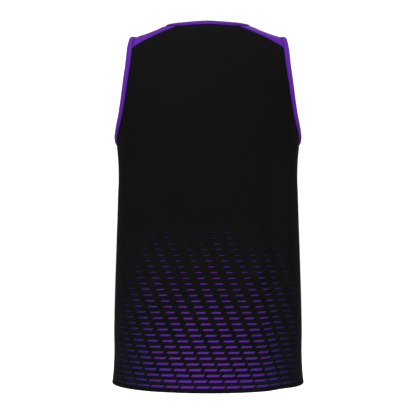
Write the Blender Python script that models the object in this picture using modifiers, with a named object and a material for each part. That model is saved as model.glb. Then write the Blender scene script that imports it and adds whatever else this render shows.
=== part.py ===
# A training singlet in its worn, hollow form. Metres, +Z up, the back towards +Y and the wearer's
# left towards +X. The origin lies midway between the two straps, level with the inside of their
# crests, where the wearer's shoulders carry them.

import bmesh
import bpy
import numpy as np

# ---------------------------------------------------------------- driving dimensions
HEM_HEIGHT = -0.728
UNDERARM_HEIGHT = -0.2385  # where the side seam meets the armhole binding
HEM_DEPTH = 0.020  # how far the edge is turned up inside

WALL = 0.0014
HEM_WALL = 0.0024  # two layers
BINDING_WALL = 0.0026  # a strip folded over the raw edge
BINDING_PROUD = 0.0006  # how far it stands out from the panels
BINDING_CROWN = 0.0014  # how far its middle stands out beyond its edges
BINDING_FLARE = 0.25  # how far it leans out of the cloth's face, as a share of its width
NECK_BINDING_WIDTH = 0.0085
ARMHOLE_BINDING_WIDTH = 0.0115
SEAM_GAP = 0.0003
SHOULDER_SEAM_GAP = 0.0006  # wider, because the two walls' inner edges lean together over the bend
HEM_STEP = 0.001  # the height over which the wall thickens at the hem's stitching
WELD = 0.00001

# The shoulder's crest: its height at the centre line if it ran straight, its fall, and the
# rounding that joins the two slopes at the nape
CREST_PEAK = 0.05114
CREST_FALL = 0.40
NAPE_ROUNDING = 0.040
SHOULDER_DROP = 0.200  # the height over which the back and chest round into the crest

# The garment's level sections, from the hem up
SECTION_COLUMNS = ("height", "half_width", "back", "front", "squareness")
SECTIONS = (
    (-0.728, 0.1998, 0.1160, 0.1170, 2.15),
    (-0.705, 0.1968, 0.1158, 0.1170, 2.35),
    (-0.610, 0.1943, 0.1155, 0.1180, 2.85),
    (-0.460, 0.1900, 0.1150, 0.1210, 2.95),
    (-0.340, 0.1863, 0.1140, 0.1230, 2.85),
    (-0.285, 0.1855, 0.1130, 0.1240, 2.75),
    (-0.240, 0.1888, 0.1120, 0.1230, 2.65),
    (-0.210, 0.1905, 0.1110, 0.1210, 2.5),
    (-0.165, 0.1885, 0.1095, 0.1170, 2.4),
    (-0.110, 0.1890, 0.1075, 0.1110, 2.25),
    (-0.050, 0.1900, 0.1055, 0.1040, 2.1),
    (0.040, 0.1900, 0.1050, 0.1000, 2.1),
)

# The armhole seam on the wearer's left, from the crest round the back to the underarm: across,
# behind the crest, height. The front one mirrors it, cut a little deeper.
ARMHOLE_SEAM = (
    (0.1520, 0.0000, -0.0117),
    (0.1530, 0.0160, -0.0180),
    (0.1555, 0.0300, -0.0345),
    (0.1600, 0.0440, -0.0610),
    (0.1640, 0.0530, -0.0925),
    (0.1680, 0.0580, -0.1300),
    (0.1750, 0.0580, -0.1650),
    (0.1795, 0.0510, -0.1960),
    (0.1830, 0.0370, -0.2190),
    (0.1875, 0.0190, -0.2330),
    (0.1895, 0.0000, -0.2385),
)
ARMHOLE_FRONT_SHARE = 0.96

# The neck seam, from the centre back round the wearer's left side to the centre front: across,
# behind the crest, height
NECK_SEAM = (
    (0.0000, 0.0590, 0.0068),
    (0.0400, 0.0525, 0.0075),
    (0.0674, 0.0380, 0.0085),
    (0.0850, 0.0190, 0.0110),
    (0.0895, 0.0000, 0.0120),
    (0.0893, -0.0210, 0.0080),
    (0.0860, -0.0420, -0.0060),
    (0.0780, -0.0620, -0.0270),
    (0.0600, -0.0850, -0.0620),
    (0.0330, -0.1010, -0.0880),
    (0.0000, -0.1060, -0.0980),
)
SHOULDER_SEAM_AT_NECK = 0.0380  # how far behind and before the crest the shoulder seams start
SHOULDER_SEAM_AT_ARMHOLE = -0.0345  # the height at which they end

# Soft vertical drapes, each a trough that runs down a panel: where its middle line starts and ends,
# half its width, and how deep it is where it is deepest
DRAPE_COLUMNS = ("facing", "across_top", "top", "across_bottom", "bottom", "half_width", "depth")
DRAPES = (
    (1, -0.118, -0.170, -0.150, -0.728, 0.040, 0.0115),
    (1, 0.085, -0.330, 0.070, -0.728, 0.045, 0.0025),
    (-1, 0.110, -0.200, 0.140, -0.728, 0.042, 0.0085),
    (-1, -0.060, -0.300, -0.090, -0.728, 0.050, 0.0050),
)
DRAPE_FADE = 0.130  # the height over which a drape comes up from nothing
DRAPE_AT_HEM = 0.35  # the share of its depth that is left where it ends

# ---------------------------------------------------------------- how finely each piece is cut
SIDE_SPANS = 4  # columns that end under the arm, from the side seam round the armhole's foot
SHOULDER_SPANS = 6  # columns that end at a shoulder seam
BACK_NECK_SPANS = 7  # columns of half the back that end at the neck
FRONT_NECK_SPANS = 10
BODY_SPANS = 11  # rows from the hem's fold to the underarm
YOKE_SPANS = 11  # rows from there to the shoulder seam
CREST_SPANS = 8  # over the crest, from the back shoulder seam to the front one
BINDING_SPANS = 3  # across a binding
ARMHOLE_FOOT = 0.80  # where the armhole's foot starts: its share of the way from crest to underarm
LINE_POINTS = 241
SHARP_ANGLE = 40  # degrees: edges that are bent more than this are shaded sharp

# ---------------------------------------------------------------- how points are laid on the figure
CORE_ACROSS = 0.5  # how far out the core of a point lies, as a share of how far out the point does
CORE_TOP = -0.12  # the height of the cores of all points above it
SEARCH_REACH = 3.0  # how far past the point the figure is looked for, in distances from the core
SEARCH_STEPS = 44
SLOPE_STEP = 0.00001

# ---------------------------------------------------------------- colours of the dyed knit
BLACK_KNIT = (0.0075, 0.0075, 0.0078, 1.0)
PURPLE_KNIT = (0.130, 0.023, 0.360, 1.0)
KNIT_ROUGHNESS = 0.8


# ---------------------------------------------------------------- the figure
def eased(share):
    """0 to 1 with soft ends."""
    share = np.clip(share, 0, 1)
    return share * share * (3 - 2 * share)


def smooth_through(knots, values, at):
    """A smooth curve through the knots, read at the places asked for."""
    knots = np.asarray(knots, float)
    values = np.asarray(values, float)
    steps = np.diff(knots)
    rises = np.diff(values, axis=0) / steps.reshape((-1,) + (1,) * (values.ndim - 1))
    slopes = np.concatenate([rises[:1], (rises[1:] + rises[:-1]) / 2, rises[-1:]])
    at = np.clip(np.asarray(at, float), knots[0], knots[-1])
    span = np.clip(np.searchsorted(knots, at, side="right") - 1, 0, len(steps) - 1)
    width = steps[span]
    share = (at - knots[span]) / width
    if values.ndim > 1:
        width = width[..., None]
        share = share[..., None]
    lower = values[span] + share * width * slopes[span]
    upper = values[span + 1] - (1 - share) * width * slopes[span + 1]
    return lower + (upper - lower) * eased(share)


def section_at(height):
    """Each column of the section table at the heights asked for."""
    table = np.array(SECTIONS)
    return {
        name: smooth_through(table[:, 0], table[:, column], height)
        for column, name in enumerate(SECTION_COLUMNS)
    }


def crest_height(across):
    return CREST_PEAK - CREST_FALL * np.sqrt(across**2 + NAPE_ROUNDING**2)


def fullness(points):
    """Above zero inside the figure, zero on it and below zero outside."""
    across, depth, height = np.moveaxis(np.asarray(points, float), -1, 0)
    section = section_at(height)
    power = section["squareness"]
    reach = np.where(depth > 0, section["back"], section["front"])
    sides = 1 - (np.abs(across) / section["half_width"]) ** power
    climb = np.maximum(height - crest_height(across) + SHOULDER_DROP, 0) / SHOULDER_DROP
    top = 1 - climb**power
    room = np.where((sides > 0) & (top > 0), sides * top, np.minimum(sides, top))
    return room - (np.abs(depth) / reach) ** power


def settle(points, cores):
    """Slides each point along the ray from its core until it lies on the figure."""
    near = np.zeros(points.shape[:-1])
    far = np.full(points.shape[:-1], SEARCH_REACH)
    for _ in range(SEARCH_STEPS):
        middle = (near + far) / 2
        inside = fullness(cores + (points - cores) * middle[..., None]) > 0
        near = np.where(inside, middle, near)
        far = np.where(inside, far, middle)
    return cores + (points - cores) * near[..., None]


def core_of(points):
    """A place well inside the figure for each point: level with it, or below it at the shoulders."""
    cores = np.zeros_like(points)
    cores[..., 0] = points[..., 0] * CORE_ACROSS
    cores[..., 2] = np.minimum(points[..., 2], CORE_TOP)
    return cores


def outward(points):
    """The figure's unit normals."""
    steps = SLOPE_STEP * np.eye(3)
    slope = np.stack([fullness(points - step) - fullness(points + step) for step in steps], axis=-1)
    return slope / np.linalg.norm(slope, axis=-1, keepdims=True)


# ---------------------------------------------------------------- seam lines
def spaced(line, spans):
    """The line as equal spans, by its length."""
    steps = np.linalg.norm(np.diff(line, axis=0), axis=1)
    run = np.concatenate([[0], np.cumsum(steps)])
    stations = np.linspace(0, run[-1], spans + 1)
    return np.stack([np.interp(stations, run, line[:, k]) for k in range(3)], axis=1)


def through_points(points):
    """A smooth line on the figure through a table of points."""
    table = np.array(points, float)
    reach = np.concatenate([[0], np.cumsum(np.linalg.norm(np.diff(table, axis=0), axis=1))])
    line = smooth_through(reach, table, np.linspace(0, reach[-1], LINE_POINTS))
    return settle(line, core_of(line))


def armhole_line():
    """The left armhole seam, from the underarm up the front, over the crest and down the back."""
    back = np.array(ARMHOLE_SEAM)
    front = back * (1, -ARMHOLE_FRONT_SHARE, 1)
    return through_points(np.vstack([front[::-1], back[1:]]))


def settled_between(start, end):
    shares = np.linspace(0, 1, LINE_POINTS)[:, None]
    line = start * (1 - shares) + end * shares
    return settle(line, core_of(line))


def level_line(height, start_depth, facing):
    """Half a level section of the figure, from a depth beside the side seam to the centre line."""
    section = section_at(height)
    power = section["squareness"]
    reach = section["back"] if facing > 0 else section["front"]
    angle = np.linspace(0, np.pi / 2, LINE_POINTS)
    width = section["half_width"] * np.cos(angle) ** (2 / power)
    depth = facing * reach * np.sin(angle) ** (2 / power)
    line = np.stack([width, depth, np.full(LINE_POINTS, height)], axis=1)
    line[-1, 0] = 0
    cores = line * (0, 0, 1)
    line[1:] = settle(line[1:], cores[1:])
    return line[np.abs(line[:, 1]) >= start_depth]


def split_at(line, *places):
    """The line cut at the points nearest to these depths."""
    cuts = [int(np.argmin(np.abs(line[:, 1] - place))) for place in places]
    ends = [0, *sorted(cuts), len(line) - 1]
    return [line[first : last + 1] for first, last in zip(ends, ends[1:])]


class Seams:
    """Every seam line of the left half, each as the stations that its two pieces share."""

    def __init__(self):
        line = through_points(NECK_SEAM)
        back, crest, front = split_at(line, SHOULDER_SEAM_AT_NECK, -SHOULDER_SEAM_AT_NECK)
        self.neck = {
            "back": spaced(back, BACK_NECK_SPANS),
            "crest": spaced(crest, CREST_SPANS),
            "front": spaced(front, FRONT_NECK_SPANS),
        }
        self.armhole = self.armhole_parts(armhole_line())
        self.shoulder = {
            side: spaced(settled_between(start, end), SHOULDER_SPANS)
            for side, start, end in (
                ("back", self.armhole["back"][0], self.neck["back"][-1]),
                ("front", self.armhole["front"][-1], self.neck["front"][0]),
            )
        }

    def armhole_parts(self, line):
        """The armhole seam in five stretches, in order from the underarm up the front."""
        top = int(np.argmax(line[:, 2]))
        above = np.abs(line[:, 2] - SHOULDER_SEAM_AT_ARMHOLE)
        front_end = int(np.argmin(above[:top]))
        back_end = top + int(np.argmin(above[top:]))
        front_foot = round((1 - ARMHOLE_FOOT) * top)
        back_foot = top + round(ARMHOLE_FOOT * (len(line) - 1 - top))
        return {
            "front_foot": spaced(line[: front_foot + 1], SIDE_SPANS),
            "front": spaced(line[front_foot : front_end + 1], YOKE_SPANS),
            "crest": spaced(line[front_end : back_end + 1], CREST_SPANS),
            "back": spaced(line[back_end : back_foot + 1], YOKE_SPANS),
            "back_foot": spaced(line[back_foot:], SIDE_SPANS),
        }


# ---------------------------------------------------------------- pieces of cloth
def patch(bottom, top, left, right):
    """A grid of points between four lines that meet at its corners, laid on the figure."""
    up = np.linspace(0, 1, len(left))[:, None, None]
    over = np.linspace(0, 1, len(bottom))[None, :, None]
    between_rows = bottom * (1 - up) + top * up
    between_ends = left[:, None] * (1 - over) + right[:, None] * over
    corners = (bottom[0] * (1 - over) + bottom[-1] * over) * (1 - up)
    corners = corners + (top[0] * (1 - over) + top[-1] * over) * up
    grid = between_rows + between_ends - corners
    inner = grid[1:-1, 1:-1]
    grid[1:-1, 1:-1] = settle(inner, core_of(inner))
    return grid


def whole(half):
    """Both halves of a grid whose rows end on the centre line."""
    return np.concatenate([half, half[:, -2::-1] * (-1, 1, 1)], axis=1)


def draped(points, facing):
    """Presses the soft troughs into a panel."""
    height = points[..., 2]
    pressed = np.zeros(height.shape)
    for row in DRAPES:
        drape = dict(zip(DRAPE_COLUMNS, row))
        if drape["facing"] != facing:
            continue
        ends = (drape["bottom"], drape["top"])
        middle = np.interp(height, ends, (drape["across_bottom"], drape["across_top"]))
        beside = np.clip((points[..., 0] - middle) / drape["half_width"], -1, 1)
        up = eased((height - ends[0]) / DRAPE_FADE)
        down = eased((ends[1] - height) / DRAPE_FADE)
        fade = down * (DRAPE_AT_HEM + (1 - DRAPE_AT_HEM) * up)
        pressed += drape["depth"] * fade * np.cos(np.pi / 2 * beside) ** 2
    return points - outward(points) * pressed[..., None]


def add_grid(mesh, grid, flip, closed=False):
    """Adds a grid of points to a bmesh as quads. A closed one joins the ends of its rows."""
    rows = [[mesh.verts.new(point) for point in row] for row in grid.tolist()]
    for low, high in zip(rows, rows[1:]):
        if closed:
            low = low + low[:1]
            high = high + high[:1]
        for k in range(len(low) - 1):
            corners = [low[k], low[k + 1], high[k + 1], high[k]]
            mesh.faces.new(corners[::-1] if flip else corners)


def panel_grids(seams, facing):
    """A panel in two grids: the body up to the underarm, and the yoke from there to the neck."""
    side = "back" if facing > 0 else "front"
    foot = seams.armhole[side + "_foot"][::-facing]
    armhole = seams.armhole[side][::-facing]
    neck = seams.neck[side][::-facing]
    yoke_foot = level_line(foot[-1, 2], abs(foot[-1, 1]), facing)
    yoke_foot = spaced(np.vstack([foot[-1], yoke_foot]), len(neck) - 1 + SHOULDER_SPANS)
    top = np.vstack([foot, yoke_foot[1:]])

    fold = HEM_HEIGHT + HEM_DEPTH
    hem_heights = (HEM_HEIGHT, HEM_HEIGHT + HEM_DEPTH / 2, fold, fold + HEM_STEP)
    hem = np.array([spaced(level_line(height, 0, facing), len(top) - 1) for height in hem_heights])
    side_heights = np.linspace(hem_heights[-1], UNDERARM_HEIGHT, BODY_SPANS + 1)
    side_seam = np.zeros((BODY_SPANS + 1, 3))
    side_seam[:, 0] = section_at(side_heights)["half_width"]
    side_seam[:, 2] = side_heights
    centre = spaced(settled_between(hem[-1, -1], top[-1]), BODY_SPANS)
    body = np.vstack([hem, patch(hem[-1], top, side_seam, centre)[1:]])
    body[:, 0, 1] = facing * SEAM_GAP / 2

    yoke_top = np.vstack([seams.shoulder[side], neck[1:]])
    yoke_centre = spaced(settled_between(yoke_foot[-1], yoke_top[-1]), len(armhole) - 1)
    yoke = patch(yoke_foot, yoke_top, armhole, yoke_centre)
    return draped(whole(body), facing), draped(whole(yoke), facing)


def shoulder_grid(seams):
    """The left shoulder piece, from the back seam over the crest to the front seam."""
    grid = patch(
        seams.shoulder["back"],
        seams.shoulder["front"],
        seams.armhole["crest"][::-1],
        seams.neck["crest"],
    )
    for edge, beside in ((0, 1), (-1, -2)):
        along = grid[beside] - grid[edge]
        grid[edge] += SHOULDER_SEAM_GAP * along / np.linalg.norm(along, axis=1, keepdims=True)
    return grid


def binding_grid(stations, width):
    """A strip that carries the cloth on from a ring of seam stations into the opening."""
    normals = outward(stations)
    tangents = np.roll(stations, -1, axis=0) - np.roll(stations, 1, axis=0)
    tangents /= np.linalg.norm(tangents, axis=1, keepdims=True)
    inward = np.cross(tangents, normals)
    inward /= np.linalg.norm(inward, axis=1, keepdims=True)
    shares = np.linspace(0, 1, BINDING_SPANS + 1)[:, None, None]
    reaches = SEAM_GAP + (width - SEAM_GAP) * shares
    stands = BINDING_PROUD + BINDING_FLARE * width * shares + BINDING_CROWN * np.sin(np.pi * shares)
    return stations + inward * reaches + normals * stands


def armhole_binding_grid(seams):
    ring = np.vstack([stretch[:-1] for stretch in seams.armhole.values()])
    return binding_grid(ring, ARMHOLE_BINDING_WIDTH)


def neck_binding_grid(seams):
    half = np.vstack([seams.neck["back"], seams.neck["crest"][1:], seams.neck["front"][1:]])
    ring = np.vstack([half, half[-2:0:-1] * (-1, 1, 1)])
    return binding_grid(ring, NECK_BINDING_WIDTH)


# ---------------------------------------------------------------- objects
def knit(name, colour):
    material = bpy.data.materials.new(name)
    material.use_nodes = True
    shader = material.node_tree.nodes["Principled BSDF"]
    shader.inputs["Base Color"].default_value = colour
    shader.inputs["Roughness"].default_value = KNIT_ROUGHNESS
    shader.inputs["Metallic"].default_value = 0.0
    return material


def add_piece(name, collection, mesh, wall, colour):
    """Makes the object of a piece from its outer face, and gives it its wall on the inside."""
    bmesh.ops.remove_doubles(mesh, verts=mesh.verts, dist=WELD)
    data = bpy.data.meshes.new(name)
    mesh.to_mesh(data)
    mesh.free()
    data.materials.append(knit(name + "_knit", colour))
    data.shade_smooth()
    data.set_sharp_from_angle(angle=np.radians(SHARP_ANGLE))
    piece = bpy.data.objects.new(name, data)
    collection.objects.link(piece)
    solid = piece.modifiers.new("Wall", "SOLIDIFY")
    solid.thickness = wall
    solid.offset = -1
    solid.use_quality_normals = True
    return piece


def thicken_hem(piece):
    """The edge is turned up inside, so the wall is thicker from the hem to the fold."""
    fold = HEM_HEIGHT + HEM_DEPTH + HEM_STEP / 2
    group = piece.vertex_groups.new(name="hem")
    group.add([v.index for v in piece.data.vertices if v.co.z < fold], 1.0, "REPLACE")
    solid = piece.modifiers["Wall"]
    solid.thickness = HEM_WALL
    solid.vertex_group = group.name
    solid.thickness_vertex_group = WALL / HEM_WALL


def add_panel(name, collection, seams, facing):
    mesh = bmesh.new()
    for grid in panel_grids(seams, facing):
        add_grid(mesh, grid, flip=facing < 0)
    thicken_hem(add_piece(name, collection, mesh, WALL, BLACK_KNIT))


def add_pair(name, collection, grid, wall, flip, closed):
    """A left piece, and the right one as its mirror image."""
    for side, turn in (("left", 1), ("right", -1)):
        mesh = bmesh.new()
        add_grid(mesh, grid * (turn, 1, 1), flip=flip == (turn > 0), closed=closed)
        add_piece(f"{name}_{side}", collection, mesh, wall, PURPLE_KNIT)


def add_neck_binding(collection, seams):
    mesh = bmesh.new()
    add_grid(mesh, neck_binding_grid(seams), flip=True, closed=True)
    add_piece("neck_binding", collection, mesh, BINDING_WALL, PURPLE_KNIT)


def main():
    for stray in list(bpy.data.objects):
        bpy.data.objects.remove(stray, do_unlink=True)
    collection = bpy.data.collections.new("training_singlet")
    bpy.context.scene.collection.children.link(collection)

    seams = Seams()
    add_panel("back", collection, seams, facing=1)
    add_panel("front", collection, seams, facing=-1)
    add_pair("shoulder", collection, shoulder_grid(seams), WALL, flip=False, closed=False)
    add_neck_binding(collection, seams)
    armhole = armhole_binding_grid(seams)
    add_pair("armhole_binding", collection, armhole, BINDING_WALL, flip=True, closed=True)


main()
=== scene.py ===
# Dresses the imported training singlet: printed knit panels with turned edges, folded bindings,
# sewing, a pale studio and the camera. Metres, +Z up, the back towards +Y.
import math

import bmesh
import bpy
import numpy as np
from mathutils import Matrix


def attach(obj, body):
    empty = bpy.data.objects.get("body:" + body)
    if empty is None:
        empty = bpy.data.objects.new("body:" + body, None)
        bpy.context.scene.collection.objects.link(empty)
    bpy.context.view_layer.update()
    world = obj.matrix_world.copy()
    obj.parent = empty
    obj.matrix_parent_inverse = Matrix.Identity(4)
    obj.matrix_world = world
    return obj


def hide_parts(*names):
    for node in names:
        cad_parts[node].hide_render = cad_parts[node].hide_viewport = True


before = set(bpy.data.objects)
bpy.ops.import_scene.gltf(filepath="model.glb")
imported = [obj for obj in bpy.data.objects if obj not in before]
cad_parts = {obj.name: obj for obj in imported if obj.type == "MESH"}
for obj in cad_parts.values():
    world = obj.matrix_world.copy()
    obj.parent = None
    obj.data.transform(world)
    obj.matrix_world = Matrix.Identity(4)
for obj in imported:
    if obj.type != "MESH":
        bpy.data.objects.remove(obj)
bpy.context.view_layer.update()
print("stage 1: frame loaded with", len(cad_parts), "nodes")

# The worn figure that the cloth follows. It is the one that the solids are made on.
figure = {
    "hemHeight": -0.728,
    "crestPeak": 0.05114,  # the shoulders' crest, before the nape is rounded off
    "crestFall": 0.40,
    "napeRounding": 0.040,
    "shoulderDrop": 0.200,  # how far below the crest the body starts to close
    "coreAcross": 0.5,  # cores lie this share of the way out
    "coreTop": -0.12,
    # height, half width, back, front, squareness
    "sections": (
        (-0.728, 0.1998, 0.1160, 0.1170, 2.15),
        (-0.705, 0.1968, 0.1158, 0.1170, 2.35),
        (-0.610, 0.1943, 0.1155, 0.1180, 2.85),
        (-0.460, 0.1900, 0.1150, 0.1210, 2.95),
        (-0.340, 0.1863, 0.1140, 0.1230, 2.85),
        (-0.285, 0.1855, 0.1130, 0.1240, 2.75),
        (-0.240, 0.1888, 0.1120, 0.1230, 2.65),
        (-0.210, 0.1905, 0.1110, 0.1210, 2.5),
        (-0.165, 0.1885, 0.1095, 0.1170, 2.4),
        (-0.110, 0.1890, 0.1075, 0.1110, 2.25),
        (-0.050, 0.1900, 0.1055, 0.1040, 2.1),
        (0.040, 0.1900, 0.1050, 0.1000, 2.1),
    ),
}

# Where the pieces are sewn together. The tables hold across, depth and height. Three points of
# the armhole lie up to 1 mm further in than in the solids, as the photograph's edge does.
seamPlan = {
    "armhole": (
        (0.1520, 0.0000, -0.0117),
        (0.1530, 0.0160, -0.0180),
        (0.1550, 0.0300, -0.0345),
        (0.1590, 0.0440, -0.0610),
        (0.1630, 0.0530, -0.0925),
        (0.1680, 0.0580, -0.1300),
        (0.1750, 0.0580, -0.1650),
        (0.1795, 0.0510, -0.1960),
        (0.1830, 0.0370, -0.2190),
        (0.1875, 0.0190, -0.2330),
        (0.1895, 0.0000, -0.2385),
    ),
    "armholeFrontShare": 0.96,  # the front half is the back half at this share of its depth
    "neck": (
        (0.0000, 0.0590, 0.0068),
        (0.0400, 0.0525, 0.0075),
        (0.0674, 0.0380, 0.0085),
        (0.0850, 0.0190, 0.0110),
        (0.0895, 0.0000, 0.0120),
        (0.0893, -0.0210, 0.0080),
        (0.0860, -0.0420, -0.0060),
        (0.0780, -0.0620, -0.0270),
        (0.0600, -0.0850, -0.0620),
        (0.0330, -0.1010, -0.0880),
        (0.0000, -0.1060, -0.0980),
    ),
    "shoulderAtNeck": 0.0380,  # depth of the shoulder seams where they reach the neck
    "shoulderAtArmhole": -0.0345,  # their height where they reach the armhole
    "footShare": 0.80,  # the last part of an armhole bounds the body, the rest the yoke
    "linePoints": 901,
    "fairing": 0.0085,  # the distance over which a line's corners are rounded off
    "gap": 0.0003,
}

# How many cells of cloth lie between one seam and the next
weaveCells = {
    "side": 15,
    "shoulder": 24,
    "backNeck": 26,
    "frontNeck": 34,
    "body": 118,
    "yoke": 56,
    "crest": 26,
}


def eased(share):
    share = np.clip(share, 0, 1)
    return share * share * (3 - 2 * share)


def readAlong(run, line, at):
    # The points that lie at the given distances along a line
    return np.stack([np.interp(at, run, line[:, axis]) for axis in range(3)], axis=1)


def smoothThrough(knots, values, at):
    # A smooth curve through the knots, read at the places asked for
    knots = np.asarray(knots, float)
    values = np.asarray(values, float)
    steps = np.diff(knots)
    rises = np.diff(values, axis=0) / steps.reshape((-1,) + (1,) * (values.ndim - 1))
    slopes = np.concatenate([rises[:1], (rises[1:] + rises[:-1]) / 2, rises[-1:]])
    at = np.clip(np.asarray(at, float), knots[0], knots[-1])
    span = np.clip(np.searchsorted(knots, at, side="right") - 1, 0, len(steps) - 1)
    width = steps[span]
    share = (at - knots[span]) / width
    if values.ndim > 1:
        width = width[..., None]
        share = share[..., None]
    lower = values[span] + share * width * slopes[span]
    upper = values[span + 1] - (1 - share) * width * slopes[span + 1]
    return lower + (upper - lower) * eased(share)


def sectionAt(height):
    # Half width, back, front and squareness of the figure at each height
    table = np.array(figure["sections"])
    return [smoothThrough(table[:, 0], table[:, column], height) for column in range(1, 5)]


def fullness(points):
    # Above zero inside the figure, zero on it and below zero outside
    across, depth, height = np.moveaxis(np.asarray(points, float), -1, 0)
    halfWidth, back, front, power = sectionAt(height)
    reach = np.where(depth > 0, back, front)
    sides = 1 - (np.abs(across) / halfWidth) ** power
    slope = np.sqrt(across**2 + figure["napeRounding"] ** 2)
    crest = figure["crestPeak"] - figure["crestFall"] * slope
    drop = figure["shoulderDrop"]
    top = 1 - (np.maximum(height - crest + drop, 0) / drop) ** power
    room = np.where((sides > 0) & (top > 0), sides * top, np.minimum(sides, top))
    return room - (np.abs(depth) / reach) ** power


# How a point is brought onto the figure: the farthest that it is looked for, in distances from
# its core, how often that is halved, and the step that gives the figure's slope
searchPlan = {
    "farthest": 3.0,
    "halvings": 40,
    "slopeStep": 0.00001,
}


def settle(points, cores):
    # Slides each point along the ray from its core until it lies on the figure
    near = np.zeros(points.shape[:-1])
    far = np.full(points.shape[:-1], searchPlan["farthest"])
    for _ in range(searchPlan["halvings"]):
        middle = (near + far) / 2
        inside = fullness(cores + (points - cores) * middle[..., None]) > 0
        near = np.where(inside, middle, near)
        far = np.where(inside, far, middle)
    return cores + (points - cores) * near[..., None]


def coreOf(points):
    # A place well inside the figure for each point: level with it, or below it at the shoulders
    cores = np.zeros_like(points)
    cores[..., 0] = points[..., 0] * figure["coreAcross"]
    cores[..., 2] = np.minimum(points[..., 2], figure["coreTop"])
    return cores


def unit(vectors):
    return vectors / np.linalg.norm(vectors, axis=-1, keepdims=True)


def outward(points):
    # The figure's unit normals
    steps = searchPlan["slopeStep"] * np.eye(3)
    slope = [fullness(points - step) - fullness(points + step) for step in steps]
    return unit(np.stack(slope, axis=-1))


def runAlong(line):
    # How far along the line each of its points lies
    steps = np.linalg.norm(np.diff(line, axis=0), axis=-1)
    return np.concatenate([np.zeros((1,) + steps.shape[1:]), np.cumsum(steps, axis=0)])


def runAcross(grid):
    # How far along its row each point of a grid lies
    return np.moveaxis(runAlong(np.moveaxis(grid, 1, 0)), 0, 1)


def spaced(line, spans):
    # The line as equal spans
    run = runAlong(line)
    return readAlong(run, line, np.linspace(0, run[-1], spans + 1))


def throughPoints(points, mirrored):
    # An even line through the points, with its corners rounded off. It carries on at both ends,
    # into its mirrored half or into itself
    table = np.array(points, float)
    reach = runAlong(table)
    spans = seamPlan["linePoints"] - 1
    line = smoothThrough(reach, table, np.linspace(0, reach[-1], spans + 1))
    line = spaced(line, spans)
    before, after = line[:-1], line[1:]
    if mirrored:
        before, after = line[:0:-1] * (-1, 1, 1), line[-2::-1] * (-1, 1, 1)
    whole = np.vstack([before, line, after])
    spread = seamPlan["fairing"] * spans / reach[-1]
    offsets = np.arange(-int(3 * spread), int(3 * spread) + 1)
    weights = np.exp(-0.5 * (offsets / spread) ** 2)
    weights = weights / weights.sum()
    whole = np.stack([np.convolve(whole[:, k], weights, mode="same") for k in range(3)], axis=1)
    line = whole[spans : 2 * spans + 1]
    return settle(line, coreOf(line))


def settledBetween(start, end):
    # A line on the figure from one point straight towards another
    shares = np.linspace(0, 1, seamPlan["linePoints"])[:, None]
    line = start * (1 - shares) + end * shares
    return settle(line, coreOf(line))


def levelLine(height, startDepth, facing):
    # Half a level section of the figure, from a depth beside the side seam to the centre line
    halfWidth, back, front, power = sectionAt(height)
    angle = np.linspace(0, np.pi / 2, seamPlan["linePoints"])
    width = halfWidth * np.cos(angle) ** (2 / power)
    depth = facing * (back if facing > 0 else front) * np.sin(angle) ** (2 / power)
    line = np.stack([width, depth, np.full(len(angle), height)], axis=1)
    line[-1, 0] = 0
    line[1:] = settle(line[1:], line[1:] * (0, 0, 1))
    return line[np.abs(line[:, 1]) >= startDepth]


def sewSeams():
    # Every seam of the left half, as the stations that its two pieces share
    cells = weaveCells
    neckLine = throughPoints(seamPlan["neck"], mirrored=True)
    start = int(np.argmin(np.abs(neckLine[:, 1] - seamPlan["shoulderAtNeck"])))
    end = int(np.argmin(np.abs(neckLine[:, 1] + seamPlan["shoulderAtNeck"])))
    neck = {
        "back": spaced(neckLine[: start + 1], cells["backNeck"]),
        "crest": spaced(neckLine[start : end + 1], cells["crest"]),
        "front": spaced(neckLine[end:], cells["frontNeck"]),
    }

    back = np.array(seamPlan["armhole"])
    front = back * (1, -seamPlan["armholeFrontShare"], 1)
    line = throughPoints(np.vstack([front[::-1], back[1:]]), mirrored=False)
    top = int(np.argmax(line[:, 2]))
    above = np.abs(line[:, 2] - seamPlan["shoulderAtArmhole"])
    frontEnd = int(np.argmin(above[:top]))
    backEnd = top + int(np.argmin(above[top:]))
    frontFoot = round((1 - seamPlan["footShare"]) * top)
    backFoot = top + round(seamPlan["footShare"] * (len(line) - 1 - top))
    armhole = {
        "frontFoot": spaced(line[: frontFoot + 1], cells["side"]),
        "front": spaced(line[frontFoot : frontEnd + 1], cells["yoke"]),
        "crest": spaced(line[frontEnd : backEnd + 1], cells["crest"]),
        "back": spaced(line[backEnd : backFoot + 1], cells["yoke"]),
        "backFoot": spaced(line[backFoot:], cells["side"]),
    }
    shoulder = {
        "back": spaced(settledBetween(armhole["back"][0], neck["back"][-1]), cells["shoulder"]),
        "front": spaced(settledBetween(armhole["front"][-1], neck["front"][0]), cells["shoulder"]),
    }
    return {"neck": neck, "armhole": armhole, "shoulder": shoulder}


def patch(bottom, top, left, right):
    # A grid of points between four lines that meet at their ends, laid on the figure
    up = np.linspace(0, 1, len(left))[:, None, None]
    over = np.linspace(0, 1, len(bottom))[None, :, None]
    grid = bottom * (1 - up) + top * up + left[:, None] * (1 - over) + right[:, None] * over
    grid = grid - (bottom[0] * (1 - over) + bottom[-1] * over) * (1 - up)
    grid = grid - (top[0] * (1 - over) + top[-1] * over) * up
    grid[1:-1, 1:-1] = settle(grid[1:-1, 1:-1], coreOf(grid[1:-1, 1:-1]))
    return grid


def wholeOf(half):
    # A grid of the left half with its mirrored half beside it
    return np.concatenate([half, half[:, -2::-1] * (-1, 1, 1)], axis=1)


seams = sewSeams()
print("stage 2: seam lines laid on the figure")


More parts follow.
